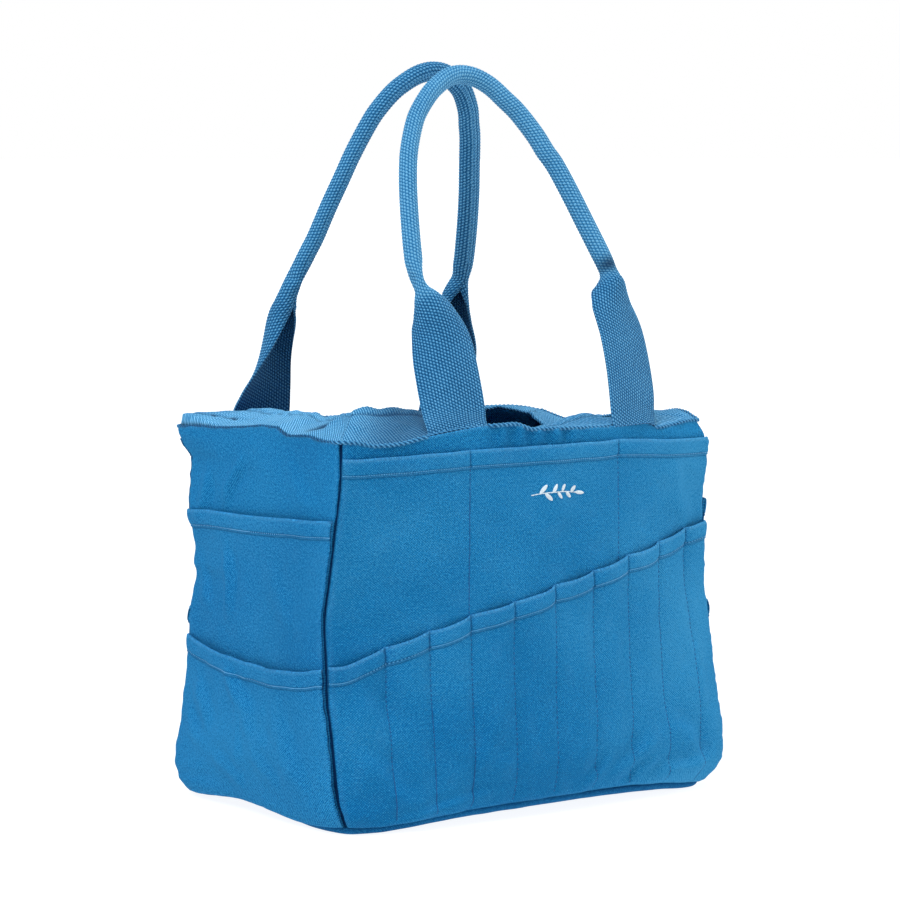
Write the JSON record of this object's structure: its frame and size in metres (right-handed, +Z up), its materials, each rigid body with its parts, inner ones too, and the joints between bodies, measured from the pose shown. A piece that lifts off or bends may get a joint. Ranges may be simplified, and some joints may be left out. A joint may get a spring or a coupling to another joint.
{
  "type": "garden tool bag",
  "caption": "Soft canvas garden tool bag with an open compartment, outside pockets and sloping tool channels on its faces, a webbing rim and two rolled webbing handles.",
  "frame": {"origin": "on the ground at the middle of the base's underside", "axes": "+Z up, along the height; the front face looks towards -Y; +X to the right of someone looking at the front face"},
  "size_m": [0.3706, 0.2696, 0.5481],
  "materials": {
    "canvas": "heavy washed cotton canvas, matt",
    "pocket_canvas": "heavy washed cotton canvas, matt, lighter along its folds",
    "webbing": "woven cotton webbing, matt",
    "rim_webbing": "ribbed cotton webbing, matt",
    "thread": "sewing thread",
    "base_board": "stiffening board",
    "core_cord": "cotton cord",
    "seam_binding": "cotton binding tape"
  },
  "bodies": {
    "bag": {"back_left_corner_seam": "seam_binding", "back_left_handle_tab": "webbing", "back_lower_divider_1": "thread", "back_lower_divider_2": "thread", "back_lower_pocket": "pocket_canvas", "back_lower_pocket_hem_thread": "thread", "back_right_corner_seam": "seam_binding", "back_right_handle_tab": "webbing", "back_upper_divider_1": "thread", "back_upper_divider_2": "thread", "back_upper_pocket": "pocket_canvas", "back_upper_pocket_hem_thread": "thread", "back_wall": "canvas", "base_board": "base_board", "base_panel": "canvas", "base_seam_binding": "seam_binding", "front_channel_divider_1": "thread", "front_channel_divider_2": "thread", "front_channel_divider_3": "thread", "front_channel_divider_4": "thread", "front_channel_divider_5": "thread", "front_channel_divider_6": "thread", "front_channel_divider_7": "thread", "front_channel_divider_8": "thread", "front_channel_divider_9": "thread", "front_channel_pocket": "pocket_canvas", "front_channel_pocket_hem_thread": "thread", "front_left_corner_seam": "seam_binding", "front_left_handle_tab": "webbing", "front_right_corner_seam": "seam_binding", "front_right_handle_tab": "webbing", "front_upper_divider_1": "thread", "front_upper_divider_2": "thread", "front_upper_pocket": "pocket_canvas", "front_upper_pocket_hem_thread": "thread", "front_wall": "canvas", "left_lower_pocket": "pocket_canvas", "left_lower_pocket_hem_thread": "thread", "left_upper_pocket": "pocket_canvas", "left_upper_pocket_hem_thread": "thread", "left_wall": "canvas", "right_lower_pocket": "pocket_canvas", "right_lower_pocket_hem_thread": "thread", "right_upper_pocket": "pocket_canvas", "right_upper_pocket_hem_thread": "thread", "right_wall": "canvas", "rim_webbing": "rim_webbing"},
    "front_handle": {"front_handle_core_cord": "core_cord", "front_handle_grip_thread": "thread", "front_handle_webbing": "webbing"},
    "back_handle": {"back_handle_core_cord": "core_cord", "back_handle_grip_thread": "thread", "back_handle_webbing": "webbing"}
  },
  "joints": [
    {"name": "front_handle_swing", "type": "hinge", "parent": "bag", "child": "front_handle", "pos_m": [0, -0.1178, 0.2835], "axis": [1, 0, 0], "range_deg": [-2, 158]},
    {"name": "back_handle_swing", "type": "hinge", "parent": "bag", "child": "back_handle", "pos_m": [0, 0.1178, 0.2835], "axis": [-1, 0, 0], "range_deg": [-2, 158]}
  ]
}
